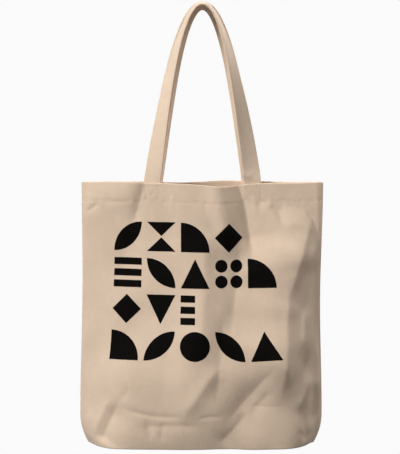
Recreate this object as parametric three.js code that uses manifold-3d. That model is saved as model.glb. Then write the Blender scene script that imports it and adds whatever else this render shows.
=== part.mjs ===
// Canvas tote bag, hanging by its two handles.
//
// Two cloth panels are sewn together at the sides and to a boat-shaped bottom panel. The mouth has a
// turned-in hem, and the ends of two flat webbing handles are box-stitched to the inside of it.
//
// Millimetres, +Z up, +X to the bag's right as seen from the front, and the front faces -Y. The origin is
// the point under the ridge of the two handles where a hook carries the bag.

import * as THREE from "three";
import * as BufferGeometryUtils from "three/addons/utils/BufferGeometryUtils.js";
import Module from "manifold-3d";

const wasm = await Module();
wasm.setup();

// ---------------------------------------------------------------------------------------------------------
// Driving dimensions

const BAG_HEIGHT = 396; // mouth edge to the underside of the bottom
const MOUTH_WIDTH = 363; // side seam to side seam at the mouth
const MOUTH_DEPTH = 56; // front to back across the open mouth
const FLARE_WIDTH = 361; // the widest place above the bottom corners
const WAIST_DIP = 3.5; // how far each side draws in at half height
const CORNER_TAPER = 12; // how far each bottom corner is drawn in
const CORNER_HEIGHT = 42; // height over which it is drawn in
const BOTTOM_DEPTH = 127; // front to back across the bottom
const MOUTH_CROWN = 2.2; // power of the panels' bow at the mouth: higher is flatter in the middle
const BOTTOM_CROWN = 4.4; // and at the bottom, which is blunter

const CLOTH = 0.8; // one ply of twill
const HEM_HEIGHT = 30;
const HEM_PLIES = 2; // turned under twice
const HEM_END_INSET = 9; // the hem band stops this far short of the side seams
const SEAM_ALLOWANCE = 10; // the trimmed seam inside each side
const BOTTOM_ALLOWANCE = 9; // the trimmed seam inside the bottom
const SEAM_PLIES = 2;

const HANDLE_RISE = 270; // mouth edge up to the origin
const FRONT_LEG_SPACING = 152; // centre to centre of the front handle's legs at the mouth
const BACK_LEG_SPACING = 145;
const STRAP_WIDTH = 26;
const STRAP_THICKNESS = 2.6; // four plies, pressed
const STRAP_SHOULDER = 30; // half length of the nearly level stretch at the top of a handle
const STRAP_ELBOW_IN = 21; // how far the leg's upper control point lies inside its foot
const STRAP_ELBOW_RISE = 150; // and how far above it
const STRAP_END_CLEARANCE = 2; // how far the sewn end of a strap stops short of the hem's lower edge
const FRONT_RIDGE_TILT = 4; // degrees that the front strap slopes down from the ridge
const BACK_RIDGE_TILT = 30;
const TWIST_POWER = 0.8; // how soon the strap turns edge-on as it rises

const THREAD_WIDTH = 0.9;
const THREAD_HEIGHT = 0.5;
const HEM_STITCH_INSET = 3; // hem's lower edge to its stitch line
const EDGE_STITCH_INSET = 3; // strap edge to its stitch line
const BOX_STITCH_INSET = 4; // ends of the sewn strap to the box stitch

const GAP = 0.3; // clearance between pieces that touch
const HINGE_RISE = 1; // fold line of a handle above the mouth edge

const TWILL = { color: 0xcbb095, roughness: 0.95, metalness: 0 };
const HEM_TWILL = { color: 0xc6aa8e, roughness: 0.95, metalness: 0 };
const STRAP_TWILL = { color: 0xcfb396, roughness: 0.92, metalness: 0 };
const SEAM_TWILL = { color: 0xb99f85, roughness: 0.97, metalness: 0 };
const THREAD = { color: 0xd8c2a8, roughness: 0.8, metalness: 0 };

// ---------------------------------------------------------------------------------------------------------
// Sizes that follow from them

const FRONT = -1; // side of the bag, as the sign of y
const BACK = 1;
const MOUTH_Z = -HANDLE_RISE;
const BOTTOM_Z = MOUTH_Z - BAG_HEIGHT;
const PANEL_FOOT = CLOTH + GAP; // the panels stand on the bottom panel
const SEAM_THICKNESS = SEAM_PLIES * CLOTH;
const HEM_THICKNESS = HEM_PLIES * CLOTH;
const STRAP_END_LENGTH = HEM_HEIGHT - STRAP_END_CLEARANCE;
const BOX_STITCH_WIDTH = STRAP_WIDTH - 2 * EDGE_STITCH_INSET;
const BOX_STITCH_HEIGHT = STRAP_END_LENGTH - 2 * BOX_STITCH_INSET;
const SIDE_OFFSET = SEAM_THICKNESS / 2 + GAP + CLOTH / 2; // panel mid-surface from y = 0 at a side seam
const HEM_INNER = CLOTH / 2 + GAP + HEM_THICKNESS; // panel mid-surface to the hem's inner face
const STRAP_OFFSET = HEM_INNER + GAP + STRAP_THICKNESS / 2; // panel mid-surface to the strap's middle
const THREAD_OFFSET = CLOTH / 2 + GAP + THREAD_HEIGHT / 2; // panel mid-surface to a stitch's middle
const LEG_SPACING = { [FRONT]: FRONT_LEG_SPACING, [BACK]: BACK_LEG_SPACING };
const RIDGE_TILT = { [FRONT]: FRONT_RIDGE_TILT, [BACK]: BACK_RIDGE_TILT };
const SIDE_NAME = { [FRONT]: "front", [BACK]: "back" };

const UP = new THREE.Vector3(0, 0, 1);
const DEPTHWARDS = new THREE.Vector3(0, 1, 0);

const ARC_STEPS = 40; // across a panel
const RISE_STEPS = 18; // up a panel
const FOOT_CROWDING = 1.6; // power that crowds those steps towards the bottom corners
const STRAP_STEPS = 56; // along a handle

const { lerp, smoothstep, degToRad } = THREE.MathUtils;

// ---------------------------------------------------------------------------------------------------------
// The bag's surface

// Half the width between the side seams, at a height above the bottom.
function halfWidth(height) {
  const flare = FLARE_WIDTH / 2;
  if (height < CORNER_HEIGHT) {
    return flare - CORNER_TAPER * (1 - height / CORNER_HEIGHT) ** 2;
  }
  const rise = (height - CORNER_HEIGHT) / (BAG_HEIGHT - CORNER_HEIGHT);
  return lerp(flare, MOUTH_WIDTH / 2, rise) - WAIST_DIP * Math.sin(Math.PI * rise) ** 2;
}

// Distance of a panel's mid-surface from the plane y = 0. across runs from -1 to 1 between the side seams.
function halfDepth(across, height) {
  const rise = height / BAG_HEIGHT;
  const bow = lerp(BOTTOM_DEPTH / 2, MOUTH_DEPTH / 2, rise) - CLOTH / 2 - SIDE_OFFSET;
  const power = lerp(BOTTOM_CROWN, MOUTH_CROWN, rise);
  return SIDE_OFFSET + bow * (1 - Math.abs(across) ** power);
}

// A point on or beside a panel, outward of its mid-surface by offset.
function panelPoint(side, across, height, offset) {
  const x = across * halfWidth(height);
  return new THREE.Vector3(x, side * (halfDepth(across, height) + offset), BOTTOM_Z + height);
}

// A height on the way up the bag, from a share of the steps.
function steppedHeight(low, high, share) {
  return lerp(low, high, share ** FOOT_CROWDING);
}

// A place across the bag, from a share of the steps, which crowd towards both side seams.
function steppedAcross(left, right, share) {
  return lerp(left, right, (1 - Math.cos(Math.PI * share)) / 2);
}

// A point on or beside a panel, from an x coordinate.
function panelPointAt(side, x, height, offset) {
  return panelPoint(side, x / halfWidth(height), height, offset);
}

// ---------------------------------------------------------------------------------------------------------
// Closed solids

// Keeps only shared positions, so that the solid is one closed body.
function closedBody(geometry) {
  geometry.deleteAttribute("normal");
  geometry.deleteAttribute("uv");
  const body = BufferGeometryUtils.mergeVertices(geometry, 1e-4);
  body.computeVertexNormals();
  return body;
}

function movePoints(geometry, place) {
  const points = geometry.attributes.position;
  for (let i = 0; i < points.count; i += 1) {
    const moved = place(points.getX(i), points.getY(i), points.getZ(i));
    points.setXYZ(i, moved.x, moved.y, moved.z);
  }
  return geometry;
}

// A block whose corners are laid along a surface. place takes three shares from 0 to 1, in right-handed
// order: across, along and outward.
function bentBlock(acrossSteps, alongSteps, place) {
  const block = new THREE.BoxGeometry(1, 1, 1, acrossSteps, alongSteps, 1);
  return closedBody(movePoints(block, (a, b, c) => place(a + 0.5, b + 0.5, c + 0.5)));
}

function toManifold(geometry) {
  const vertProperties = new Float32Array(geometry.attributes.position.array);
  const triVerts = new Uint32Array(geometry.index.array);
  return new wasm.Manifold(new wasm.Mesh({ numProp: 3, vertProperties, triVerts }));
}

function fromManifold(solid) {
  const { vertProperties, triVerts } = solid.getMesh();
  const geometry = new THREE.BufferGeometry();
  geometry.setAttribute("position", new THREE.BufferAttribute(new Float32Array(vertProperties), 3));
  geometry.setIndex(new THREE.BufferAttribute(new Uint32Array(triVerts), 1));
  return geometry;
}

function namedMesh(name, geometry, finish) {
  const mesh = new THREE.Mesh(geometry, new THREE.MeshStandardMaterial(finish));
  mesh.name = name;
  return mesh;
}

// ---------------------------------------------------------------------------------------------------------
// Cloth pieces

// A strip laid along a panel between two heights and two shares of the width, from one offset to another.
// Its steps run in the order that keeps the block right-handed on either side of the bag.
function panelStrip(side, steps, across, heights, offsets) {
  return bentBlock(steps[0], steps[1], (a, b, c) => {
    const share = side === FRONT ? a : 1 - a;
    const height = lerp(heights[0], heights[1], b);
    const place = steppedAcross(across[0], across[1], share);
    return panelPoint(side, place, height, lerp(offsets[0], offsets[1], c));
  });
}

function panel(side) {
  const shape = bentBlock(ARC_STEPS, RISE_STEPS, (a, b, c) => {
    const share = side === FRONT ? a : 1 - a;
    const height = steppedHeight(PANEL_FOOT, BAG_HEIGHT, b);
    return panelPoint(side, steppedAcross(-1, 1, share), height, lerp(-CLOTH / 2, CLOTH / 2, c));
  });
  return namedMesh(`${SIDE_NAME[side]}_panel`, shape, TWILL);
}

function hem(side) {
  const reach = 1 - (2 * HEM_END_INSET) / MOUTH_WIDTH;
  const heights = [BAG_HEIGHT - HEM_HEIGHT, BAG_HEIGHT];
  const shape = panelStrip(side, [ARC_STEPS, 2], [-reach, reach], heights, [-HEM_INNER, -CLOTH / 2 - GAP]);
  return namedMesh(`${SIDE_NAME[side]}_hem`, shape, HEM_TWILL);
}

// The bottom panel: a boat shape under the lower edges of the two panels.
function bottomPanel() {
  const outline = new THREE.Shape();
  for (const side of [FRONT, BACK]) {
    for (let i = 0; i <= ARC_STEPS; i += 1) {
      const across = side * steppedAcross(1, -1, i / ARC_STEPS);
      const edge = panelPoint(side, across, 0, CLOTH / 2);
      if (side === FRONT && i === 0) {
        outline.moveTo(edge.x, edge.y);
      } else {
        outline.lineTo(edge.x, edge.y);
      }
    }
  }
  outline.closePath();
  const slab = new THREE.ExtrudeGeometry(outline, { depth: CLOTH, bevelEnabled: false });
  slab.translate(0, 0, BOTTOM_Z);
  return namedMesh("bottom_panel", closedBody(slab), TWILL);
}

// The trimmed allowance inside a side seam, standing in from the seam towards the middle of the bag.
function sideSeam(name, end) {
  const heights = [PANEL_FOOT + BOTTOM_ALLOWANCE + GAP, BAG_HEIGHT - GAP];
  const shape = bentBlock(1, RISE_STEPS, (a, b, c) => {
    const height = steppedHeight(heights[0], heights[1], b);
    const inset = end > 0 ? lerp(SEAM_ALLOWANCE, CLOTH, a) : lerp(CLOTH, SEAM_ALLOWANCE, a);
    const y = lerp(SEAM_THICKNESS / 2, -SEAM_THICKNESS / 2, c);
    return new THREE.Vector3(end * (halfWidth(height) - inset), y, BOTTOM_Z + height);
  });
  return namedMesh(name, shape, SEAM_TWILL);
}

// The trimmed allowance inside a bottom seam, standing up against the foot of a panel.
function bottomSeam(side) {
  const reach = 1 - (2 * HEM_END_INSET) / MOUTH_WIDTH;
  const heights = [PANEL_FOOT, PANEL_FOOT + BOTTOM_ALLOWANCE];
  const offsets = [-CLOTH / 2 - GAP - SEAM_THICKNESS, -CLOTH / 2 - GAP];
  const shape = panelStrip(side, [ARC_STEPS, 1], [-reach, reach], heights, offsets);
  return namedMesh(`bottom_${SIDE_NAME[side]}_seam`, shape, SEAM_TWILL);
}

// ---------------------------------------------------------------------------------------------------------
// Handles

const legX = (side, end) => (end * LEG_SPACING[side]) / 2;

// The end of a strap, sewn flat against the inside of the hem.
function strapEnd(side, end) {
  const heights = [BAG_HEIGHT - STRAP_END_LENGTH, BAG_HEIGHT + HINGE_RISE - GAP];
  const shape = bentBlock(4, 2, (a, b, c) => {
    const share = side === FRONT ? a : 1 - a;
    const x = legX(side, end) + STRAP_WIDTH * (share - 0.5);
    const offset = lerp(-STRAP_OFFSET - STRAP_THICKNESS / 2, -STRAP_OFFSET + STRAP_THICKNESS / 2, c);
    const height = lerp(heights[0], heights[1], b);
    const point = panelPointAt(side, x, Math.min(height, BAG_HEIGHT), offset);
    return point.setZ(BOTTOM_Z + height);
  });
  const place = end < 0 ? "left" : "right";
  return namedMesh(`${SIDE_NAME[side]}_strap_end_${place}`, shape, STRAP_TWILL);
}

// The middle line of a handle, from its left foot over the ridge to its right foot.
function handlePath(side) {
  const tilt = degToRad(RIDGE_TILT[side]);
  const foot = panelPointAt(side, legX(side, 1), BAG_HEIGHT, -STRAP_OFFSET).setZ(MOUTH_Z + HINGE_RISE);
  const halfStrap = STRAP_WIDTH / 2;
  const halfThick = STRAP_THICKNESS / 2;
  const top = new THREE.Vector3(
    0,
    side * (halfStrap * Math.cos(tilt) + halfThick * Math.sin(tilt) + GAP),
    halfThick * Math.cos(tilt) - halfStrap * Math.sin(tilt),
  );
  const elbowShare = STRAP_ELBOW_RISE / (top.z - foot.z);
  const elbow = new THREE.Vector3(
    foot.x - STRAP_ELBOW_IN,
    lerp(foot.y, top.y, elbowShare),
    foot.z + STRAP_ELBOW_RISE,
  );
  const shoulder = new THREE.Vector3(STRAP_SHOULDER, top.y, top.z);
  const mirrored = [foot, elbow, shoulder].map((p) => new THREE.Vector3(-p.x, p.y, p.z));
  const path = new THREE.CurvePath();
  path.add(new THREE.CubicBezierCurve3(mirrored[0], mirrored[1], mirrored[2], top));
  path.add(new THREE.CubicBezierCurve3(top, shoulder, elbow, foot));
  return { path, foot, top };
}

// The strap's frame at a share of the way along: its middle, its width and its outward normal. It lies
// along the panel at the mouth and turns edge-on as it rises. At its foot it is cut level with the mouth.
function strapFrame(side, share) {
  const { path, foot, top } = handlePath(side);
  const middle = path.getPoint(share);
  const rise = THREE.MathUtils.clamp((middle.z - foot.z) / (top.z - foot.z), 0, 1);
  const level = share < 0.5 ? UP.clone() : UP.clone().negate();
  const lean = smoothstep(middle.z - foot.z, 0, STRAP_WIDTH);
  const tangent = level.lerp(path.getTangent(share), lean).normalize();
  const step = 1;
  const outerDepth = panelPointAt(side, foot.x + step, BAG_HEIGHT, 0).y;
  const innerDepth = panelPointAt(side, foot.x - step, BAG_HEIGHT, 0).y;
  const footTurn = Math.atan(Math.abs(outerDepth - innerDepth) / (2 * step));
  const turn = lerp(footTurn, Math.PI / 2 - degToRad(RIDGE_TILT[side]), rise ** TWIST_POWER);
  const outward = tangent.clone().cross(DEPTHWARDS).normalize();
  const normal = new THREE.Vector3(0, side * Math.cos(turn), 0).addScaledVector(outward, Math.sin(turn));
  const width = tangent.clone().cross(normal).normalize();
  return { middle, width, normal: width.clone().cross(tangent).normalize() };
}

// A ribbon along a handle, from one place across the strap to another and one offset to another.
function handleRibbon(side, acrossSteps, across, offsets) {
  return bentBlock(acrossSteps, STRAP_STEPS, (a, b, c) => {
    const { middle, width, normal } = strapFrame(side, b);
    const point = middle.addScaledVector(width, lerp(across[0], across[1], a));
    return point.addScaledVector(normal, lerp(offsets[0], offsets[1], c));
  });
}

function handle(side) {
  const across = [-STRAP_WIDTH / 2, STRAP_WIDTH / 2];
  const shape = handleRibbon(side, 2, across, [-STRAP_THICKNESS / 2, STRAP_THICKNESS / 2]);
  return namedMesh(`${SIDE_NAME[side]}_handle`, shape, STRAP_TWILL);
}

// One row of stitches along an edge of a handle, on its outer face.
function handleStitch(side, edge) {
  const middle = edge * (STRAP_WIDTH / 2 - EDGE_STITCH_INSET);
  const base = STRAP_THICKNESS / 2 + GAP;
  const across = [middle - THREAD_WIDTH / 2, middle + THREAD_WIDTH / 2];
  const shape = handleRibbon(side, 1, across, [base, base + THREAD_HEIGHT]);
  const place = edge * side > 0 ? "upper" : "lower";
  return namedMesh(`${SIDE_NAME[side]}_handle_${place}_stitch`, shape, THREAD);
}

// ---------------------------------------------------------------------------------------------------------
// Stitches on the bag

function hemStitch(side) {
  const reach = 1 - (2 * HEM_END_INSET) / MOUTH_WIDTH;
  const middle = BAG_HEIGHT - HEM_HEIGHT + HEM_STITCH_INSET;
  const heights = [middle - THREAD_WIDTH / 2, middle + THREAD_WIDTH / 2];
  const offsets = [CLOTH / 2 + GAP, CLOTH / 2 + GAP + THREAD_HEIGHT];
  const shape = panelStrip(side, [ARC_STEPS, 1], [-reach, reach], heights, offsets);
  return namedMesh(`${SIDE_NAME[side]}_hem_stitch`, shape, THREAD);
}

// A straight run of thread between two points of a flat pattern, as a closed block.
function threadRun(from, to) {
  const run = new THREE.Vector2().subVectors(to, from);
  const block = new THREE.BoxGeometry(run.length() + THREAD_WIDTH, THREAD_WIDTH, THREAD_HEIGHT, 4, 1, 1);
  block.rotateZ(run.angle());
  block.translate((from.x + to.x) / 2, (from.y + to.y) / 2, 0);
  return toManifold(closedBody(block));
}

// A box stitch with a cross, drawn flat and then laid on the outside of the panel over a strap end.
function boxStitch(side, end) {
  const right = BOX_STITCH_WIDTH / 2;
  const top = BOX_STITCH_HEIGHT / 2;
  const corners = [
    new THREE.Vector2(-right, -top),
    new THREE.Vector2(right, -top),
    new THREE.Vector2(right, top),
    new THREE.Vector2(-right, top),
  ];
  const pairs = [[0, 1], [1, 2], [2, 3], [3, 0], [0, 2], [1, 3]];
  const runs = pairs.map(([from, to]) => threadRun(corners[from], corners[to]));
  const flat = fromManifold(runs.reduce((whole, run) => whole.add(run)));
  const centreHeight = BAG_HEIGHT - STRAP_END_LENGTH / 2;
  const laid = movePoints(flat, (x, z, outward) => {
    const along = side === FRONT ? x : -x;
    return panelPointAt(side, legX(side, end) + along, centreHeight + z, THREAD_OFFSET + outward);
  });
  laid.computeVertexNormals();
  const place = end < 0 ? "left" : "right";
  return namedMesh(`${SIDE_NAME[side]}_box_stitch_${place}`, laid, THREAD);
}

// ---------------------------------------------------------------------------------------------------------
// Assembly

const tote = new THREE.Group();
const bag = new THREE.Group();
bag.add(bottomPanel());
bag.add(sideSeam("left_side_seam", -1));
bag.add(sideSeam("right_side_seam", 1));

for (const side of [FRONT, BACK]) {
  bag.add(panel(side));
  bag.add(hem(side));
  bag.add(bottomSeam(side));
  bag.add(hemStitch(side));
  for (const end of [-1, 1]) {
    bag.add(strapEnd(side, end));
    bag.add(boxStitch(side, end));
  }
  const grip = new THREE.Group();
  grip.add(handle(side));
  grip.add(handleStitch(side, -1));
  grip.add(handleStitch(side, 1));
  tote.add(grip);
}
tote.add(bag);

export default tote;
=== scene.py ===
"""A hanging canvas tote bag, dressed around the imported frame.

The cloth is one surface per side, worked out as flat panels that are bowed, creased and settled, and
everything sewn or printed on it is laid over that surface. Metres, +Z up, the front faces -Y.
"""

from __future__ import annotations

import logging
import math
from dataclasses import dataclass, field
from enum import Enum
from typing import Iterable, Sequence, Union

import bmesh
import bpy
import numpy as np
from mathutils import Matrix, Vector

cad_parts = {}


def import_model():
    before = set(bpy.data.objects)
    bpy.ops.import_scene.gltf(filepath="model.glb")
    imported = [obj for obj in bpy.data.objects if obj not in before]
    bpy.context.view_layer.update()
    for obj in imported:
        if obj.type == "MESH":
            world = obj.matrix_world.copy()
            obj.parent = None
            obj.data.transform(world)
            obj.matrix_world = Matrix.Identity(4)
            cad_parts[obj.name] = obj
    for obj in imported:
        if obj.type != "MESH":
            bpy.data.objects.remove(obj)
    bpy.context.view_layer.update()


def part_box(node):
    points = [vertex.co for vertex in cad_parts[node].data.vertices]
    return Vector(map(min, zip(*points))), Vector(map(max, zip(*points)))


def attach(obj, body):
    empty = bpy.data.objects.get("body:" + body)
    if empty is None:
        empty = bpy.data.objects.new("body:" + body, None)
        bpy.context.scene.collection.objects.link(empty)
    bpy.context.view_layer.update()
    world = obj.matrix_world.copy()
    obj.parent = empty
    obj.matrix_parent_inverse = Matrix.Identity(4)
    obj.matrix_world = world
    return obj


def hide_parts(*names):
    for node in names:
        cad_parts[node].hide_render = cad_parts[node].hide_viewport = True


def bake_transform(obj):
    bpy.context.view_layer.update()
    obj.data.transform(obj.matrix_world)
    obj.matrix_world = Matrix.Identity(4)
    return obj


LOG = logging.getLogger("tote")
MM = 0.001
STRAP_WIDTH = 26.0 * MM
STRAP_THICKNESS = 2.6 * MM
STRAP_LIFT = -3.9 * MM
STRAP_INSET = 3.0 * MM
BOX_TOP = 4.0 * MM
SEAM_ALLOWANCE = 10.0 * MM
Array = np.ndarray
Point = tuple[float, float]
Colour = tuple[float, float, float]
Seam = tuple[Array, Array]


def smooth(low: float, high: float, x: Array) -> Array:
    """An ease from 0 at low to 1 at high."""
    t = np.clip((np.asarray(x, float) - low) / (high - low), 0.0, 1.0)
    return t * t * (3 - 2 * t)


def unit(vectors: Array) -> Array:
    """The same vectors at length one."""
    length = np.linalg.norm(vectors, axis=-1, keepdims=True)
    return vectors / np.maximum(length, 1e-12)


def distance_along(points: Array) -> Array:
    """The distance along a line at each of its points."""
    return np.concatenate([[0], np.cumsum(np.linalg.norm(np.diff(points, axis=0), axis=1))])


def at_distance(spot: float, run: Array, table: Array) -> Array:
    """The place or direction in a table at a distance along its line."""
    return np.array([np.interp(spot, run, table[:, i]) for i in range(3)])


class Side(Enum):
    """A side of the bag, with the sign of its y."""

    FRONT = -1
    BACK = 1

    @property
    def word(self) -> str:
        """The side's name in piece names."""
        return self.name.lower()


# Shader nodes


class Wire:
    """A shader socket that can be used in arithmetic."""

    def __init__(self, graph: "Graph", socket: bpy.types.NodeSocket) -> None:
        """Keeps the socket and the graph that it belongs to."""
        self.graph = graph
        self.socket = socket

    def maths(self, operation: str, *others: "Number", swap: bool = False) -> "Wire":
        """Adds a Math node.

        Args:
            operation: the node's operation.
            others: further operands, wires or numbers.
            swap: puts this wire second.

        Returns:
            The node's result.
        """
        operands = [self, *others]
        if swap:
            operands.reverse()
        return self.graph.node("ShaderNodeMath", {"operation": operation}, dict(enumerate(operands)))

    def __add__(self, other: "Number") -> "Wire":
        """Sum."""
        return self.maths("ADD", other)

    __radd__ = __add__

    def __sub__(self, other: "Number") -> "Wire":
        """Difference."""
        return self.maths("SUBTRACT", other)

    def __rsub__(self, other: "Number") -> "Wire":
        """Difference, reflected."""
        return self.maths("SUBTRACT", other, swap=True)

    def __mul__(self, other: "Number") -> "Wire":
        """Product."""
        return self.maths("MULTIPLY", other)

    def sine(self) -> "Wire":
        """Sine, in radians."""
        return self.maths("SINE")

    def above(self, low: float, high: float) -> "Wire":
        """An ease from 0 at low to 1 at high."""
        inputs = {"Value": self, "From Min": low, "From Max": high}
        return self.graph.node("ShaderNodeMapRange", {"interpolation_type": "SMOOTHSTEP"}, inputs)


Number = Union[Wire, float]


class Graph:
    """The node graph of one material."""

    def __init__(self, name: str) -> None:
        """Starts a material that has only its surface shader and output.

        Args:
            name: the material's name.
        """
        self.material = bpy.data.materials.new(name)
        self.material.use_nodes = True
        self.tree = self.material.node_tree
        self.tree.nodes.clear()
        self.shader = self.tree.nodes.new("ShaderNodeBsdfPrincipled")
        output = self.tree.nodes.new("ShaderNodeOutputMaterial")
        self.tree.links.new(self.shader.outputs["BSDF"], output.inputs["Surface"])

    def node(self, kind: str, settings: dict, inputs: dict | None = None, out: int | str = 0) -> Wire:
        """Adds one node.

        Args:
            kind: the node's type.
            settings: its properties, set before its sockets.
            inputs: values or wires, by socket name or number.
            out: the output that is wanted.

        Returns:
            That output as a wire.
        """
        made = self.tree.nodes.new(kind)
        for key, value in settings.items():
            setattr(made, key, value)
        for key, value in (inputs or {}).items():
            if isinstance(value, Wire):
                self.tree.links.new(value.socket, made.inputs[key])
            else:
                made.inputs[key].default_value = value
        return Wire(self, made.outputs[out])

    def blend(self, share: Number, first: Union[Wire, Colour], second: Union[Wire, Colour]) -> Wire:
        """Mixes a share of the second colour into the first.

        Args:
            share: how much of the second.
            first: a colour or a wire.
            second: a colour or a wire.

        Returns:
            The mixed colour.
        """
        pair = [c if isinstance(c, Wire) else (*c, 1.0) for c in (first, second)]
        inputs = {0: share, 6: pair[0], 7: pair[1]}
        return self.node("ShaderNodeMix", {"data_type": "RGBA"}, inputs, out=2)

    def noise(self, place: Wire, scale: float, detail: float = 3.0, roughness: float = 0.55) -> Wire:
        """Adds a noise pattern with values about one half."""
        inputs = {"Vector": place, "Scale": scale, "Detail": detail, "Roughness": roughness}
        return self.node("ShaderNodeTexNoise", {}, inputs)

    def stretched(self, place: Wire, scale: tuple[float, float, float], turn: float = 0.0) -> Wire:
        """Scales a pattern's coordinates and turns them about the third axis, in radians."""
        inputs = {"Vector": place, "Rotation": (0, 0, turn), "Scale": scale}
        return self.node("ShaderNodeMapping", {}, inputs)

    def surface(self, **sockets: Union[Wire, float, Colour]) -> bpy.types.Material:
        """Sets the shader's own sockets.

        Args:
            sockets: values or wires, by socket name with underscores for spaces.

        Returns:
            The finished material.
        """
        for key, value in sockets.items():
            socket = self.shader.inputs[key.replace("_", " ")]
            if isinstance(value, Wire):
                self.tree.links.new(value.socket, socket)
            elif isinstance(value, tuple):
                socket.default_value = (*value, 1.0)
            else:
                socket.default_value = value
        return self.material


# Finishes


@dataclass(frozen=True)
class Twill:
    """Unbleached cotton twill. Patterns follow the cloth through its flat coordinates, in metres."""

    name: str
    light: Colour
    dark: Colour
    wale: float = 1.5 * MM
    crumple: float = 1.0
    turn: float = 0.0
    sheen: float = 0.12
    crease_height: float = 1.15 * MM
    pucker_height: float = 0.22 * MM
    weave_height: float = 0.035 * MM
    fibre_height: float = 0.02 * MM
    slub_long: float = 60.0
    slub_fine: float = 1400.0
    wobble_scale: float = 260.0
    mottle_scale: float = 26.0
    fibre_scale: float = 2400.0
    fleck_scale: float = 520.0
    crease_scale: float = 57.0
    pucker_scale: float = 210.0

    def build(self) -> bpy.types.Material:
        """Builds the weave, slubs, flecks and crumple.

        Returns:
            The finished material.
        """
        g = Graph(self.name)
        flat = g.node("ShaderNodeUVMap", {"uv_map": FLAT_MAP})
        axes = g.stretched(flat, (1.0, 1.0, 1.0), self.turn)
        u, v = (g.node("ShaderNodeSeparateXYZ", {}, {0: axes}, out=k) for k in ("X", "Y"))
        wobble = g.noise(flat, self.wobble_scale, 2.0) * 0.9
        rib = ((u + v * 1.25) * (2 * math.pi / self.wale) + wobble).sine() * 0.5 + 0.5
        picks = ((v - u * 0.2) * (2 * math.pi / (self.wale * 0.8))).sine() * 0.5 + 0.5
        weave = rib * 0.75 + picks * 0.25
        warp = g.noise(g.stretched(axes, (self.slub_fine, self.slub_long, 1.0)), 1.0, 2.0)
        weft = g.noise(g.stretched(axes, (self.slub_long, self.slub_fine, 1.0)), 1.0, 2.0)
        slub = (warp + weft) * 0.5
        mottle = g.noise(flat, self.mottle_scale, 4.0, 0.6)
        fibres = g.noise(flat, self.fibre_scale, 2.0, 0.7)
        shade = weave * 0.20 + slub * 0.42 + mottle * 0.30 + fibres * 0.14
        colour = g.blend(shade.above(0.34, 0.72), self.dark, self.light)
        fleck = g.noise(flat, self.fleck_scale, 1.0, 0.4).above(0.755, 0.80)
        colour = g.blend(fleck * 0.35, colour, tuple(c * 0.55 for c in self.dark))
        creases = g.noise(g.stretched(flat, (1.0, 0.55, 1.0)), self.crease_scale, 5.0, 0.62)
        pucker = g.noise(flat, self.pucker_scale, 3.0, 0.6)
        relief = creases * (self.crease_height * self.crumple)
        relief = relief + pucker * (self.pucker_height * self.crumple)
        relief = relief + weave * self.weave_height + fibres * self.fibre_height
        bump = g.node("ShaderNodeBump", {}, {"Strength": 0.85, "Distance": 1.0, "Height": relief})
        return g.surface(
            Base_Color=colour,
            Roughness=0.97 - shade * 0.12,
            Normal=bump,
            Sheen_Weight=self.sheen,
            Sheen_Roughness=0.6,
            Specular_IOR_Level=0.18,
        )


@dataclass(frozen=True)
class SewingThread:
    """Two-ply cotton thread, twisted, a little glossier than the cloth."""

    name: str
    light: Colour
    dark: Colour
    twist_scale: float = 2600.0
    twist_height: float = 0.1 * MM
    worn_scale: float = 60.0

    def build(self) -> bpy.types.Material:
        """Builds the twist and its soft gloss.

        Returns:
            The finished material.
        """
        g = Graph(self.name)
        place = g.node("ShaderNodeTexCoord", {}, out="Object")
        twist = g.noise(g.stretched(place, (self.twist_scale,) * 3), 1.0, 1.0)
        worn = g.noise(place, self.worn_scale, 2.0)
        shade = twist * 0.7 + worn * 0.3
        relief = twist * self.twist_height
        bump = g.node("ShaderNodeBump", {}, {"Strength": 0.5, "Distance": 1.0, "Height": relief})
        return g.surface(
            Base_Color=g.blend(shade.above(0.35, 0.65), self.dark, self.light),
            Roughness=0.72 + worn * 0.1,
            Normal=bump,
            Sheen_Weight=0.1,
            Specular_IOR_Level=0.3,
        )


@dataclass(frozen=True)
class PrintInk:
    """Black ink pressed into the weave, thin enough for the ribs to show."""

    name: str
    black: Colour
    worn: Colour
    wale: float = 1.5 * MM
    fine_scale: float = 1900.0
    patch_scale: float = 40.0
    crease_scale: float = 57.0
    rib_height: float = 0.04 * MM
    fine_height: float = 0.03 * MM
    crease_height: float = 0.6 * MM

    def build(self) -> bpy.types.Material:
        """Builds the ink with the cloth's ribs and a few thin places.

        Returns:
            The finished material.
        """
        g = Graph(self.name)
        flat = g.node("ShaderNodeUVMap", {"uv_map": FLAT_MAP})
        u, v = (g.node("ShaderNodeSeparateXYZ", {}, {0: flat}, out=k) for k in ("X", "Y"))
        rib = ((u + v * 1.25) * (2 * math.pi / self.wale)).sine() * 0.5 + 0.5
        fine = g.noise(flat, self.fine_scale, 2.0, 0.7)
        patchy = g.noise(flat, self.patch_scale, 3.0)
        thin = (fine * 0.6 + rib * 0.3 + patchy * 0.35).above(0.70, 0.98)
        relief = rib * self.rib_height + fine * self.fine_height
        relief = relief + g.noise(flat, self.crease_scale, 5.0, 0.62) * self.crease_height
        bump = g.node("ShaderNodeBump", {}, {"Strength": 0.7, "Distance": 1.0, "Height": relief})
        return g.surface(
            Base_Color=g.blend(thin * 0.5, self.black, self.worn),
            Roughness=0.70 + fine * 0.2,
            Normal=bump,
            Specular_IOR_Level=0.07,
        )


@dataclass(frozen=True)
class StudioPaper:
    """The pale sweep that the bag hangs in front of."""

    name: str
    tone: Colour
    shade: Colour
    glow: float

    def build(self) -> bpy.types.Material:
        """Builds a plain matte paper that is lit evenly from behind.

        Returns:
            The finished material.
        """
        g = Graph(self.name)
        return g.surface(
            Base_Color=self.shade,
            Roughness=1.0,
            Specular_IOR_Level=0.0,
            Emission_Color=self.tone,
            Emission_Strength=self.glow,
        )


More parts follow.
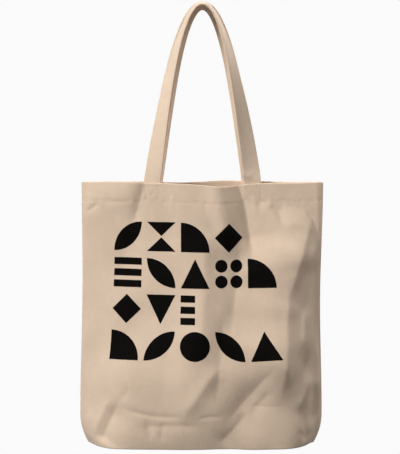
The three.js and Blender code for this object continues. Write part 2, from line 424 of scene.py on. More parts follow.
FLAT_MAP = "flat"
CLOTH_FINISH = Twill("natural_twill", light=(0.74, 0.575, 0.435), dark=(0.62, 0.475, 0.350))
STRAP_FINISH = Twill(
    "strap_twill", light=(0.76, 0.595, 0.455), dark=(0.64, 0.49, 0.365), crumple=0.35, turn=0.5
)
SEAM_FINISH = Twill("seam_twill", light=(0.66, 0.51, 0.38), dark=(0.54, 0.41, 0.30), crumple=0.6)
THREAD_FINISH = SewingThread("matching_thread", light=(0.80, 0.65, 0.50), dark=(0.63, 0.49, 0.36))
INK_FINISH = PrintInk("black_print", black=(0.0022, 0.0014, 0.0010), worn=(0.022, 0.016, 0.012))
PAPER = StudioPaper("studio_paper", tone=(0.956, 0.956, 0.956), shade=(0.02, 0.02, 0.02), glow=1.0)


# Mesh tools


def deselect() -> None:
    """Leaves nothing selected and no edit mode open."""
    if bpy.context.mode != "OBJECT":
        bpy.ops.object.mode_set(mode="OBJECT")
    bpy.ops.object.select_all(action="DESELECT")


def pick(piece: bpy.types.Object) -> None:
    """Selects one piece alone and makes it active.

    Args:
        piece: the piece.
    """
    deselect()
    piece.select_set(True)
    bpy.context.view_layer.objects.active = piece


def name_piece(piece: bpy.types.Object, name: str) -> bpy.types.Object:
    """Names a piece and its mesh.

    Args:
        piece: the piece.
        name: the name it gets.

    Returns:
        The same piece.
    """
    piece.name = name
    piece.data.name = name
    return piece


def apply(piece: bpy.types.Object, kind: str, **settings: object) -> None:
    """Adds a modifier and applies it.

    Args:
        piece: the piece.
        kind: the modifier's type.
        settings: its properties.
    """
    pick(piece)
    modifier = piece.modifiers.new(kind.lower(), kind)
    for key, value in settings.items():
        setattr(modifier, key, value)
    bpy.ops.object.modifier_apply(modifier=modifier.name)


def grid_sheet(name: str, places: Array, flat: Array) -> bpy.types.Object:
    """Lays a grid primitive over a table of places.

    Args:
        name: the piece's name.
        places: rows by columns by three; rows by columns run so that the face looks outwards.
        flat: the flat coordinates of the same points, rows by columns by two.

    Returns:
        The sheet, one layer thick, with its flat coordinates as a UV map.
    """
    rows, columns = places.shape[:2]
    deselect()
    bpy.ops.mesh.primitive_grid_add(x_subdivisions=columns - 1, y_subdivisions=rows - 1, size=1.0)
    sheet = name_piece(bpy.context.active_object, name)
    mesh = sheet.data
    co = vertices_of(mesh)
    column = np.rint((co[:, 0] + 0.5) * (columns - 1)).astype(int)
    row = np.rint((co[:, 1] + 0.5) * (rows - 1)).astype(int)
    mesh.vertices.foreach_set("co", places[row, column].ravel())
    lay_flat_map(sheet, flat[row, column])
    mesh.update()
    return sheet


def lay_flat_map(piece: bpy.types.Object, flat: Array) -> None:
    """Writes the flat coordinates of each vertex as the piece's only UV map.

    Args:
        piece: the piece.
        flat: the coordinates, one row for each vertex.
    """
    mesh = piece.data
    while mesh.uv_layers:
        mesh.uv_layers.remove(mesh.uv_layers[0])
    layer = mesh.uv_layers.new(name=FLAT_MAP)
    corner = np.empty(len(mesh.loops), int)
    mesh.loops.foreach_get("vertex_index", corner)
    layer.uv.foreach_set("vector", flat[corner].astype(np.float32).ravel())


def dress(piece: bpy.types.Object, material: bpy.types.Material, angle: float) -> None:
    """Gives a piece its one material, and shades it smooth apart from edges sharper than an angle.

    Args:
        piece: the piece.
        material: its finish.
        angle: the angle in degrees.
    """
    pick(piece)
    bpy.ops.object.shade_smooth_by_angle(angle=math.radians(angle))
    piece.data.materials.clear()
    piece.data.materials.append(material)


def vertices_of(mesh: bpy.types.Mesh) -> Array:
    """A mesh's vertices as a table.

    Args:
        mesh: the mesh.

    Returns:
        One row for each vertex.
    """
    co = np.empty(len(mesh.vertices) * 3)
    mesh.vertices.foreach_get("co", co)
    return co.reshape(-1, 3)


def new_piece(name: str, data: bpy.types.ID) -> bpy.types.Object:
    """Puts a mesh, a light or a camera in the scene as an object.

    Args:
        name: the name it gets.
        data: the mesh, light or camera.

    Returns:
        The new object.
    """
    piece = bpy.data.objects.new(name, data)
    bpy.context.scene.collection.objects.link(piece)
    return piece


# The cloth surface


@dataclass(frozen=True)
class Fold:
    """A valley pressed into the cloth along a line on the flat panel; a negative depth makes a ridge.

    Places are millimetres: across from the middle, and down from the mouth. A bell of 2 gives a soft
    trough; nearer 1 it is a crisp crease.
    """

    start: Point
    end: Point
    depth: float
    width: float
    lean: float = 0.0
    bow: float = 0.0
    fade: Point = (0.35, 0.35)
    bell: float = 2.0

    def press(self, across: Array, drop: Array) -> Array:
        """How far the cloth sinks at flat places, in metres.

        Args:
            across: metres from the middle.
            drop: metres down from the mouth.

        Returns:
            The depth at each place.
        """
        x0, y0 = self.start
        dx, dy = self.end[0] - x0, self.end[1] - y0
        length = math.hypot(dx, dy)
        px, py = across / MM - x0, drop / MM - y0
        along = (px * dx + py * dy) / length**2
        beside = (px * dy - py * dx) / length - self.bow * 4 * along * (1 - along)
        width = np.where(beside > 0, self.width * (1 - self.lean), self.width * (1 + self.lean))
        over = np.maximum(np.maximum(-along, along - 1), 0) * length
        ease = np.ones_like(along)
        for share, inside in zip(self.fade, (along, 1 - along)):
            if share:
                ease = ease * smooth(0, share, inside)
        section = np.exp(-(np.abs(beside / width) ** self.bell) - (over / self.width) ** 2)
        return self.depth * MM * ease * section


@dataclass(frozen=True)
class Ripples:
    """Faint seeded waves that keep the cloth from looking pressed."""

    seed: int
    height: float = 0.35
    shortest: float = 38.0
    longest: float = 150.0
    count: int = 26

    def lift(self, across: Array, drop: Array) -> Array:
        """The waves' height at flat places, in metres.

        Args:
            across: metres from the middle.
            drop: metres down from the mouth.

        Returns:
            The height at each place.
        """
        rng = np.random.default_rng(self.seed)
        total = np.zeros_like(across)
        for _ in range(self.count):
            length = rng.uniform(self.shortest, self.longest) * MM
            angle = rng.normal(0.25, 0.55)
            phase = rng.uniform(0, 2 * math.pi)
            size = self.height * MM * length / (self.longest * MM)
            run = across * math.cos(angle) + drop * math.sin(angle)
            total += size * np.sin(2 * math.pi * run / length + phase)
        return total


@dataclass
class BagForm:
    """The bag's bowed shape before any crease, from the frame's boxes."""

    mouth_depth: float = 28.0 * MM
    mouth_crown: float = 2.2
    bottom_crown: float = 4.4
    corner_height: float = 42.0 * MM
    corner_taper: float = 12.0 * MM
    waist_dip: float = 3.5 * MM
    cloth: float = 0.8 * MM
    side_gap: float = 0.05 * MM
    belly_height: float = 78.0 * MM
    belly_tuck: float = 0.22
    belly_sag: float = 3.4 * MM
    belly_crest: float = 104.0 * MM
    belly_bulge: float = 9.5 * MM
    corner_fill: float = 3.0
    left_flare: float = 4.2 * MM
    mouth_z: float = field(init=False)
    bottom_z: float = field(init=False)
    mouth_half: float = field(init=False)
    flare_half: float = field(init=False)
    bottom_depth: float = field(init=False)

    def __post_init__(self) -> None:
        """Reads the sizes that the frame settles."""
        panel_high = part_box("front_panel")[1]
        base_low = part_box("bottom_panel")[0]
        self.mouth_z = panel_high.z
        self.bottom_z = base_low.z
        self.mouth_half = panel_high.x
        self.flare_half = -base_low.x + self.corner_taper
        self.bottom_depth = -base_low.y - self.cloth / 2

    @property
    def height(self) -> float:
        """From the bottom to the mouth edge."""
        return self.mouth_z - self.bottom_z

    def half_width(self, height: Array) -> Array:
        """Half the width between the side seams.

        Args:
            height: metres above the bottom.

        Returns:
            One half width for each height.
        """
        rise = np.clip((height - self.corner_height) / (self.height - self.corner_height), 0, 1)
        upper = self.flare_half + (self.mouth_half - self.flare_half) * rise
        upper = upper - self.waist_dip * np.sin(math.pi * rise) ** 2
        lower = self.flare_half - self.corner_taper * (1 - height / self.corner_height) ** 2
        return np.where(height < self.corner_height, lower, upper)

    def depth(self, share: Array, height: Array) -> Array:
        """How far the cloth bows out from the middle plane.

        Args:
            share: from -1 to 1 between the side seams.
            height: above the bottom.

        Returns:
            The distance, with the two cloths just touching at the seams.
        """
        seam = self.cloth / 2 + self.side_gap
        rise = height / self.height
        bow = self.bottom_depth + (self.mouth_depth - self.bottom_depth) * rise
        low = np.clip(1 - height / self.belly_height, 0, 1)
        bow = bow * (1 - self.belly_tuck * low**2 * (1 - np.abs(share) ** 3)) - seam
        from_crest = (height - self.belly_crest) / (0.6 * self.belly_height)
        bow = bow + self.belly_bulge * np.exp(-(from_crest**2))
        power = self.bottom_crown + (self.mouth_crown - self.bottom_crown) * rise
        power = power + self.corner_fill * low**2
        return seam + bow * (1 - np.abs(share) ** power)

    def lean_out(self, share: Array, drop: float) -> Array:
        """How far the left side stands out as the bag hangs."""
        return self.left_flare * np.clip(-share, 0, 1) ** 2 * smooth(0, self.height * 0.6, drop)

    def settle(self, x: Array, height: float) -> Array:
        """How far the weight of the cloth draws a place down, most at the middle of the bottom."""
        low = max(1 - height / self.belly_height, 0.0)
        return self.belly_sag * low**2 * (1 - (x / self.flare_half) ** 4)


class Cloth:
    """One side's cloth as a table of places, evenly spaced on the flat panel.

    Row 0 is the mouth edge and the last row is the bottom edge; columns run from the bag's left to its
    right, seen from the front.
    """

    SAMPLES = 801
    SEAM_REACH = 14 * MM

    def __init__(self, side: Side, form: BagForm, columns: int = 165, rows: int = 181) -> None:
        """Lays the bowed shape out on the grid.

        Args:
            side: the side that it makes.
            form: the bowed shape.
            columns: how many places across.
            rows: how many places down.
        """
        self.side = side
        self.form = form
        self.columns = columns
        self.rows = rows
        self.drops = np.linspace(0, form.height, rows)
        fine = np.sin(np.linspace(-math.pi / 2, math.pi / 2, self.SAMPLES))
        self.places = np.empty((rows, columns, 3))
        lengths = np.empty(rows)
        for i, drop in enumerate(self.drops):
            height = form.height - drop
            x = fine * form.half_width(np.array(height))
            y = form.depth(fine, height)
            run = np.concatenate([[0], np.cumsum(np.hypot(np.diff(x), np.diff(y)))])
            lengths[i] = run[-1]
            even = np.linspace(0, run[-1], columns)
            lean = form.lean_out(np.interp(even, run, fine), drop)
            self.places[i, :, 0] = np.interp(even, run, x) - lean
            self.places[i, :, 1] = np.interp(even, run, y) * side.value
            self.places[i, :, 2] = form.mouth_z - drop - form.settle(self.places[i, :, 0], height)
        self.flat_width = float(lengths.mean())
        self.spots = np.linspace(-self.flat_width / 2, self.flat_width / 2, columns)
        self.across, self.drop = np.meshgrid(self.spots, self.drops)
        self.face = self.normals()

    def normals(self) -> Array:
        """The outward normal at every place.

        Returns:
            One direction for each place.
        """
        along = np.gradient(self.places, axis=1)
        down = np.gradient(self.places, axis=0)
        return unit(np.cross(down, along)) * -self.side.value

    def push(self, amount: Array) -> None:
        """Moves the cloth along its normals, outwards where amount is positive."""
        self.places = self.places + self.face * amount[..., None]
        self.face = self.normals()

    def edge_hold(self) -> Array:
        """A mask that is 0 at both side seams and 1 inside, where folds may run."""
        reach = self.flat_width / 2 - np.abs(self.across)
        return smooth(0, self.SEAM_REACH, reach)

    def sample(self, across: Array, drop: Array, lift: Union[float, Array] = 0.0) -> Array:
        """Places on or beside the cloth.

        Args:
            across: flat metres from the middle.
            drop: flat metres down from the mouth.
            lift: metres outwards.

        Returns:
            One place for each.
        """
        across, drop = np.broadcast_arrays(np.asarray(across, float), np.asarray(drop, float))
        c = np.clip((across / self.flat_width + 0.5) * (self.columns - 1), 0, self.columns - 1 - 1e-9)
        r = np.clip(drop / self.form.height * (self.rows - 1), 0, self.rows - 1 - 1e-9)
        c0, r0 = c.astype(int), r.astype(int)
        fc, fr = (c - c0)[..., None], (r - r0)[..., None]

        def between(table: Array) -> Array:
            """The table's value between four neighbours."""
            top = table[r0, c0] * (1 - fc) + table[r0, c0 + 1] * fc
            low = table[r0 + 1, c0] * (1 - fc) + table[r0 + 1, c0 + 1] * fc
            return top * (1 - fr) + low * fr

        lift = np.asarray(lift, float)
        lift = lift[..., None] if lift.ndim else lift
        return between(self.places) + unit(between(self.face)) * lift

    def across_at(self, x: float) -> float:
        """The flat place across at the mouth that has a given x."""
        return float(np.interp(x, self.places[0, :, 0], self.spots))


# Panels


@dataclass
class PanelCreases:
    """The folds of one panel."""

    folds: tuple[Fold, ...]
    ripples: Ripples
    mouth_dips: tuple[tuple[float, float, float], ...]
    left_slack: float = 0.0


FRONT_CREASES = PanelCreases(
    folds=(
        # The deep step left of the right strap, and its long tail down the middle.
        Fold((62, -6), (85, 134), 26.0, 61.0, lean=-0.55, fade=(0.0, 0.4), bell=1.25),
        Fold((21, -6), (46, 112), -7.5, 15.0, fade=(0.0, 0.45)),
        Fold((62, 84), (40, 244), 12.0, 57.0, lean=-0.53, fade=(0.25, 0.35), bell=1.25),
        Fold((8, 60), (-4, 290), -6.0, 19.0, fade=(0.2, 0.3), bell=1.6),
        Fold((34, 186), (18, 340), 8.0, 34.0, lean=-0.4, fade=(0.3, 0.3), bell=1.25),
        # Soft folds that hang from the left strap and from the hem's ends.
        Fold((-108, -10), (-112, 130), -4.5, 38.0, fade=(0.0, 0.5)),
        Fold((-90, 0), (-112, 76), 4.4, 13.0, lean=-0.3, fade=(0.0, 0.5), bell=1.3),
        Fold((-111, 62), (-130, 160), 2.4, 15.0, lean=-0.2, fade=(0.3, 0.6), bell=1.5),
        Fold((-178, 42), (-158, 29), 1.6, 4.0, fade=(0.0, 0.5), bell=1.5),
        Fold((-110, 30), (-158, 30), 0.6, 2.4, bell=1.5),
        Fold((114, 28), (136, 70), 4.2, 9.0, lean=-0.3, fade=(0.2, 0.5), bell=1.3),
        Fold((126, 19), (130, 32), 0.8, 3.4),
        Fold((141, 21), (146, 34), 0.9, 3.8),
        Fold((155, 24), (157, 37), 0.8, 3.4),
        Fold((92, 0), (93, 46), 2.2, 5.6, lean=-0.3, fade=(0.0, 0.4), bell=1.3),
        Fold((163, -4), (168, 60), -2.6, 6.0, lean=0.4, fade=(0.0, 0.4), bell=1.4),
        # The crest that runs down the right side, and the hollows beyond it.
        Fold((178, 36), (132, 180), -12.0, 42.0, lean=0.38, fade=(0.25, 0.3), bell=1.2),
        Fold((137, 134), (112, 344), -13.5, 42.0, lean=0.38, fade=(0.3, 0.35), bell=1.2),
        Fold((172, 76), (152, 172), 1.6, 10.0, fade=(0.3, 0.3), bell=1.5),
        Fold((162, 186), (154, 256), -2.6, 9.0, lean=-0.3, fade=(0.35, 0.35), bell=1.5),
        Fold((182, 110), (178, 300), -1.4, 9.0, fade=(0.3, 0.3)),
        Fold((120, 312), (172, 250), 5.0, 15.0, lean=-0.2, bow=-5, bell=1.3),
        Fold((168, 284), (140, 346), -2.8, 10.0, bell=1.4),
        Fold((180, 300), (166, 376), 4.0, 11.0, fade=(0.3, 0.35)),
        # The long diagonal fold over the belly and the pockets below it.
        Fold((110, 268), (26, 368), 13.0, 38.0, lean=-0.1, fade=(0.25, 0.35), bell=1.25),
        Fold((-60, 236), (70, 226), -4.5, 46.0, fade=(0.35, 0.35)),
        Fold((30, 262), (-36, 358), -4.2, 13.0, fade=(0.3, 0.35), bell=1.6),
        Fold((68, 342), (24, 390), 3.6, 14.0, lean=-0.35, fade=(0.3, 0.2), bell=1.3),
        Fold((104, 304), (66, 352), 1.8, 8.0, lean=-0.3, bell=1.4),
        Fold((-124, 331), (-18, 346), 2.0, 4.2, bow=-9, lean=-0.2, bell=1.3),
        Fold((-100, 302), (-124, 334), 1.0, 5.0, bell=1.5),
        Fold((58, 334), (126, 334), 0.8, 2.2, bell=1.4),
        Fold((-80, 346), (-73, 386), 1.8, 6.0, lean=-0.3, bell=1.3),
        Fold((-55, 354), (-61, 388), 1.5, 5.0, lean=-0.3, bell=1.3),
        Fold((-12, 352), (34, 350), 1.0, 3.0, bow=4, bell=1.5),
        Fold((-100, 368), (8, 364), 1.8, 7.0, bow=5, bell=1.5),
        # The pinched corners.
        Fold((-118, 322), (-150, 390), 7.0, 17.0, lean=-0.4, fade=(0.4, 0.15), bell=1.25),
        Fold((-130, 316), (-162, 386), -2.6, 7.0, fade=(0.35, 0.2), bell=1.2),
        Fold((-166, 340), (-178, 392), -1.6, 9.0, fade=(0.4, 0.2)),
        Fold((142, 330), (162, 392), 3.4, 10.0, lean=-0.3, fade=(0.45, 0.2), bell=1.3),
        Fold((136, 370), (162, 388), 1.0, 4.0, fade=(0.3, 0.1), bell=1.5),
    ),
    ripples=Ripples(seed=5),
    mouth_dips=((32, -4.2, 34), (-130, 2.4, 45), (-56, 0.8, 20), (150, -0.6, 25)),
    left_slack=9.5,
)

BACK_CREASES = PanelCreases(
    folds=(
        # The hollows that hang between and beside the straps.
        Fold((-58, -6), (-48, 92), 9.0, 30.0, lean=0.3, fade=(0.0, 0.45), bell=1.3),
        Fold((-18, -6), (-8, 84), -3.4, 13.0, fade=(0.0, 0.45)),
        Fold((-44, 66), (-22, 214), 6.5, 27.0, lean=0.2, fade=(0.25, 0.4), bell=1.3),
        Fold((64, -6), (74, 60), 4.2, 13.0, lean=0.3, fade=(0.0, 0.5), bell=1.4),
        Fold((94, 4), (122, 86), 3.6, 11.0, lean=0.3, bow=4, fade=(0.0, 0.5), bell=1.3),
        Fold((-92, 8), (-118, 96), 3.4, 11.0, lean=-0.3, bow=-4, fade=(0.1, 0.5), bell=1.3),
        Fold((120, 74), (140, 168), 2.6, 14.0, lean=0.3, fade=(0.3, 0.5), bell=1.5),
        Fold((-114, 28), (-132, 58), 1.6, 5.0, bell=1.5),
        # The crests along both sides.
        Fold((-178, 52), (-142, 196), -6.0, 28.0, lean=-0.4, fade=(0.25, 0.35), bell=1.5),
        Fold((-160, 120), (-150, 262), 3.0, 11.0, fade=(0.3, 0.35), bell=1.5),
        Fold((176, 90), (146, 236), -5.0, 26.0, lean=0.4, fade=(0.25, 0.35), bell=1.5),
        Fold((164, 190), (150, 300), 3.4, 12.0, lean=-0.2, fade=(0.3, 0.35), bell=1.4),
        # The belly's diagonal folds and the pockets below them.
        Fold((-86, 268), (-12, 362), 7.5, 27.0, lean=0.25, fade=(0.25, 0.35), bell=1.3),
        Fold((-30, 256), (40, 350), -3.4, 14.0, fade=(0.3, 0.35), bell=1.6),
        Fold((96, 286), (40, 372), 5.0, 18.0, lean=0.3, fade=(0.3, 0.3), bell=1.3),
        Fold((-130, 318), (-88, 366), 2.6, 9.0, lean=0.3, bell=1.3),
        Fold((6, 334), (104, 340), 1.8, 5.0, bow=-8, lean=0.2, bell=1.3),
        Fold((-66, 350), (-60, 388), 1.6, 6.0, lean=0.3, bell=1.4),
        Fold((-20, 366), (70, 370), 1.6, 7.0, bow=4, bell=1.5),
        # The pinched corners.
        Fold((134, 334), (158, 392), 4.6, 12.0, lean=0.4, fade=(0.45, 0.2), bell=1.3),
        Fold((-136, 338), (-160, 392), 4.6, 12.0, lean=-0.4, fade=(0.45, 0.2), bell=1.3),
    ),
    ripples=Ripples(seed=11),
    mouth_dips=((-14, -3.6, 38), (-130, -1.5, 40), (130, -1.5, 40)),
)


@dataclass
class Panel:
    """One side of the bag in a single cloth: outside, rolled mouth edge and turned-in hem."""

    side: Side
    form: BagForm
    creases: PanelCreases
    hem_height: float = 30.0 * MM
    turned_under: float = 8.0 * MM
    roll: float = 0.95 * MM
    under_roll: float = 0.5 * MM
    lip: float = 0.8 * MM
    end_inset: float = 9.0 * MM
    stitch_drop: float = 27.0 * MM
    leg_x: float = 76.0 * MM
    seam_room: float = 3.4 * MM
    mark_depth: float = 0.55 * MM
    groove_half: float = 1.3 * MM
    mark_ease: float = 1.6 * MM
    hem_groove: float = 0.5 * MM
    hem_groove_half: float = 1.7
    gather_share: float = 0.075
    gather_reach: float = 7.0
    gather_lengths: tuple[float, float, int] = (6.0, 21.0, 9)
    dip_fade: float = 60 * MM
    slack_foot: float = 120 * MM
    slack_head: float = 90 * MM
    hem_rows: int = 14
    turn_rows: int = 7
    lip_rows: int = 6
    cloth: Cloth = field(init=False)
    piece: bpy.types.Object = field(init=False)

    def __post_init__(self) -> None:
        """Lays the cloth and presses its folds."""
        self.cloth = Cloth(self.side, self.form)
        self.shape_mouth()
        self.press_folds()

    def shape_mouth(self) -> None:
        """Lets the mouth edge dip and rise between the straps."""
        cloth = self.cloth
        ease = np.exp(-cloth.drop / self.dip_fade)
        for centre, rise, reach in self.creases.mouth_dips:
            near = np.exp(-(((cloth.across / MM - centre) / reach) ** 2))
            cloth.places[..., 2] += rise * MM * near * ease
        cloth.face = cloth.normals()

    def press_folds(self) -> None:
        """Presses every fold and the faint ripples into the cloth."""
        cloth = self.cloth
        sunk = sum(fold.press(cloth.across, cloth.drop) for fold in self.creases.folds)
        raised = self.creases.ripples.lift(cloth.across, cloth.drop)
        moved = (raised - sunk) * cloth.edge_hold()
        room = np.maximum(np.abs(cloth.places[..., 1]) - self.seam_room, 0)
        cloth.push(np.maximum(moved, -room) + self.stitch_pucker() + self.strap_marks())
        share = cloth.across / (cloth.flat_width / 2)
        flat = np.sin(math.pi * np.clip(-share, 0, 1)) * smooth(0, 0.3, -share)
        above = smooth(0, self.slack_foot, self.form.height - cloth.drop)
        above = above * smooth(0, self.slack_head, cloth.drop)
        cloth.places[..., 1] -= self.side.value * self.creases.left_slack * MM * flat * above
        cloth.face = cloth.normals()

    def strap_marks(self) -> Array:
        """The print of the two strap ends through the cloth, and the grooves of their crossed boxes.

        Returns:
            The lift at each place.
        """
        cloth = self.cloth
        half = STRAP_WIDTH / 2
        reach = half - STRAP_INSET
        in_hem = 1 - smooth(self.hem_height - 2 * MM, self.hem_height + MM, cloth.drop)
        lift = np.zeros_like(cloth.across)
        for end in (-1, 1):
            x = cloth.across - cloth.across_at(end * self.leg_x)
            y = cloth.drop - BOX_TOP - reach
            square = np.maximum(np.abs(x), np.abs(y))
            cross = np.minimum(np.abs(x - y), np.abs(x + y)) / math.sqrt(2)
            over = 1 - smooth(half - 0.6 * MM, half + self.mark_ease, np.abs(x))
            lift += self.mark_depth * over * in_hem
            lift -= self.mark_depth * np.exp(-((np.abs(square - reach) / self.groove_half) ** 2))
            inside = 1 - smooth(reach, reach + 1.5 * MM, square)
            lift -= self.mark_depth * inside * np.exp(-((cross / self.groove_half) ** 2))
        return lift

    def stitch_pucker(self) -> Array:
        """The groove of the hem's stitch line and the small gathers beside it.

        Returns:
            The lift at each place.
        """
        cloth = self.cloth
        beside = (cloth.drop - self.stitch_drop) / MM
        groove = -self.hem_groove * np.exp(-((beside / self.hem_groove_half) ** 2))
        rng = np.random.default_rng(self.creases.ripples.seed + 100)
        gathers = np.zeros_like(cloth.across)
        for length in rng.uniform(*self.gather_lengths):
            phase = rng.uniform(0, 2 * math.pi)
            gathers += np.sin(2 * math.pi * cloth.across / (length * MM) + beside * 0.07 + phase)
        near = np.exp(-((beside / self.gather_reach) ** 2))
        return groove + gathers * self.gather_share * MM * near * cloth.edge_hold()

    def profile(self) -> tuple[Array, Array, Array]:
        """The panel's section from the hem's tucked edge, over the mouth, to the lip at the bottom.

        Returns:
            For each row its drop, its lift, and its distance along the flat cloth.
        """
        half_turn = np.linspace(0, math.pi, self.turn_rows)
        inner = -2 * self.roll
        steps = [
            (self.hem_height - 5 * MM, inner + 2 * self.under_roll),
            (self.hem_height - 2 * MM, inner + 2 * self.under_roll),
        ]
        for turn in half_turn:
            lift = inner + self.under_roll * (1 + math.cos(turn))
            steps.append((self.hem_height - self.under_roll * (1 - math.sin(turn)), lift))
        for drop in np.linspace(self.hem_height, self.roll, self.hem_rows)[1:-1]:
            steps.append((drop, inner))
        for turn in half_turn[::-1]:
            steps.append((self.roll * (1 - math.sin(turn)), -self.roll * (1 - math.cos(turn))))
        low = self.form.height - self.lip
        steps += [(drop, 0.0) for drop in self.cloth.drops if self.roll * 1.5 < drop < low - MM]
        for turn in np.linspace(0, math.pi, self.lip_rows):
            steps.append((low + self.lip * math.sin(turn), -self.lip * (1 - math.cos(turn))))
        drops, lifts = np.array(steps).T
        run = np.concatenate([[0], np.cumsum(np.hypot(np.diff(drops), np.diff(lifts)))])
        return drops, lifts, run

    def build(self, material: bpy.types.Material) -> None:
        """Makes the panel's piece, in place and on its body.

        Args:
            material: its finish.
        """
        drops, lifts, run = self.profile()
        spots = self.cloth.spots if self.side is Side.BACK else self.cloth.spots[::-1]
        across, drop = np.meshgrid(spots, drops)
        lift = np.repeat(lifts[:, None], len(spots), axis=1)
        tucked = np.clip(-lift / (2 * self.roll), 0, 1)
        inset = 1 - self.end_inset / (self.cloth.flat_width / 2) * tucked
        places = self.cloth.sample(across * inset, drop, lift)
        flat = np.stack([across, np.repeat(-run[:, None], len(spots), axis=1)], axis=-1)
        self.piece = grid_sheet(f"{self.side.word}_cloth", places, flat)
        apply(self.piece, "SOLIDIFY", thickness=self.form.cloth, offset=0.0)
        dress(self.piece, material, 60)
        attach(self.piece, "bag")
        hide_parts(f"{self.side.word}_panel", f"{self.side.word}_hem")


@dataclass
class BottomCloth:
    """The boat-shaped bottom, held between the lower lips of the two panels and sagging a little."""

    front: Panel
    back: Panel
    tuck: float = 1.25 * MM
    recess: float = 0.55 * MM
    sag: float = 3.0 * MM
    reach: float = 0.985
    columns: int = 121
    rows: int = 33

    def build(self, material: bpy.types.Material) -> None:
        """Makes the bottom's piece.

        Args:
            material: its finish.
        """
        form = self.front.form
        shares = np.linspace(-self.reach, self.reach, self.columns)
        edges = []
        for panel in (self.back, self.front):
            half = panel.cloth.flat_width / 2
            edges.append(panel.cloth.sample(shares * half, form.height, -self.tuck))
        over = np.linspace(0, 1, self.rows)[:, None, None]
        places = edges[0][None] * (1 - over) + edges[1][None] * over
        middle = (1 - shares[None, :] ** 2) * (1 - (2 * over[..., 0] - 1) ** 2)
        ripple = Ripples(seed=23, height=0.5).lift(places[..., 0], places[..., 1])
        places[..., 2] += self.recess - self.sag * middle + ripple * middle
        flat = np.stack([places[..., 0], places[..., 1]], axis=-1)
        piece = grid_sheet("bottom_cloth", places, flat)
        apply(piece, "SOLIDIFY", thickness=form.cloth, offset=0.0)
        dress(piece, material, 60)
        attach(piece, "bag")
        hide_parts("bottom_panel")
        length = places[0, -1, 0] - places[0, 0, 0] + 2 * SEAM_ALLOWANCE
        width = 2 * form.bottom_depth + 2 * SEAM_ALLOWANCE


# Stitches


@dataclass
class StitchMaker:
    """Models one stitch and lays copies of it along lines."""

    length: float = 2.7 * MM
    pitch: float = 3.3 * MM
    width: float = 0.62 * MM
    height: float = 0.42 * MM
    shape: Array = field(init=False)
    faces: list[tuple[int, ...]] = field(init=False)

    def __post_init__(self) -> None:
        """Shapes the one stitch: a short bead of thread, plump in the middle."""
        deselect()
        bpy.ops.mesh.primitive_uv_sphere_add(segments=8, ring_count=6, radius=0.5)
        bead = bpy.context.active_object
        bpy.ops.object.mode_set(mode="EDIT")
        bpy.ops.transform.rotate(value=math.pi / 2, orient_axis="Y", center_override=(0, 0, 0))
        bpy.ops.transform.resize(value=(self.length, self.width, self.height), center_override=(0, 0, 0))
        bpy.ops.object.mode_set(mode="OBJECT")
        self.shape = vertices_of(bead.data)
        self.faces = [tuple(polygon.vertices) for polygon in bead.data.polygons]
        bpy.data.objects.remove(bead)

    def lay(self, name: str, lines: Sequence[Seam], material: bpy.types.Material) -> bpy.types.Object:
        """Sews along lines.

        Args:
            name: the piece's name.
            lines: for each line its points and the outward normals there.
            material: the thread's finish.

        Returns:
            One piece that holds every stitch.
        """
        points, faces = [], []
        for line, normals in lines:
            run = distance_along(line)
            count = max(1, int(round(run[-1] / self.pitch)))
            step = run[-1] / count
            for k in range(count):
                middle = (k + 0.5) * step
                a = at_distance(middle - self.length / 2, run, line)
                b = at_distance(middle + self.length / 2, run, line)
                up = at_distance(middle, run, normals)
                ahead = unit(b - a)
                side = unit(np.cross(up, ahead))
                up = np.cross(ahead, side)
                frame = np.stack([ahead, side, up])
                base = len(points) * len(self.shape)
                points.append(self.shape @ frame + (a + b) / 2)
                faces += [tuple(base + v for v in face) for face in self.faces]
        mesh = bpy.data.meshes.new(name)
        mesh.from_pydata(np.concatenate(points).tolist(), [], faces)
        mesh.update()
        piece = new_piece(name, mesh)
        dress(piece, material, 80)
        return piece


